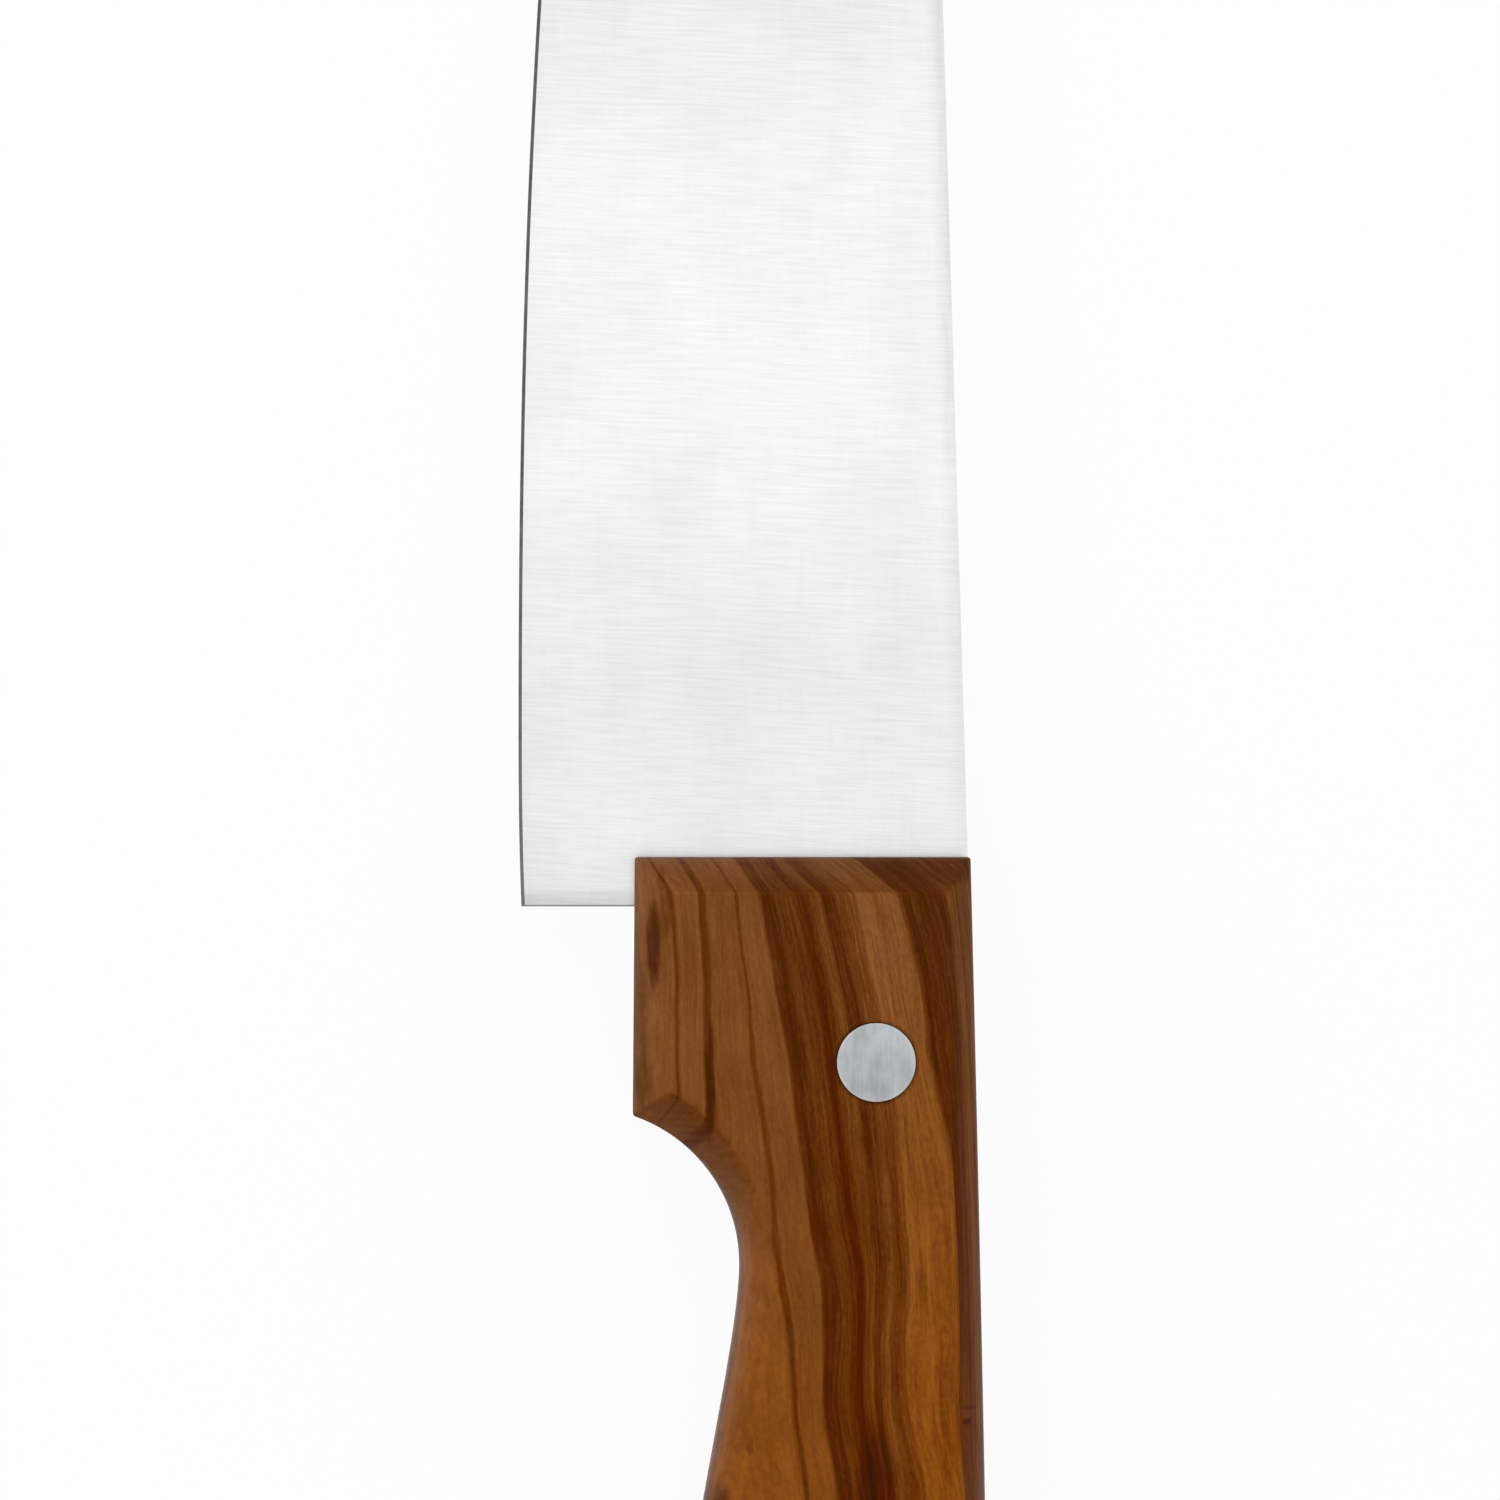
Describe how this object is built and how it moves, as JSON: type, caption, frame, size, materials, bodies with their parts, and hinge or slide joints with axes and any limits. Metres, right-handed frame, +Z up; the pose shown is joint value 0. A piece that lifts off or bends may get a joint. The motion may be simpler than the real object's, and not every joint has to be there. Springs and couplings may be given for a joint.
{
  "type": "santoku knife",
  "caption": "Santoku kitchen knife lying on its side: wide steel blade with a sheepsfoot tip, and a riveted full-tang wooden handle with a finger notch.",
  "frame": {"origin": "middle of the knife's footprint, on the surface that its lower scale lies on", "axes": "+Y along the knife towards the tip, +X towards the spine, +Z up through the handle's thickness"},
  "size_m": [0.0478, 0.295, 0.019],
  "materials": {
    "blade_steel": "satin ground across the blade",
    "olive_wood": "oiled, dark-streaked olive wood",
    "rivet_aluminium": "sanded flush with the wood"
  },
  "bodies": {
    "root": {"blade_and_tang": "blade_steel", "upper_scale": "olive_wood", "lower_scale": "olive_wood", "front_rivet_socket": "rivet_aluminium", "front_rivet_pin": "rivet_aluminium", "rear_rivet_socket": "rivet_aluminium", "rear_rivet_pin": "rivet_aluminium"}
  },
  "joints": []
}
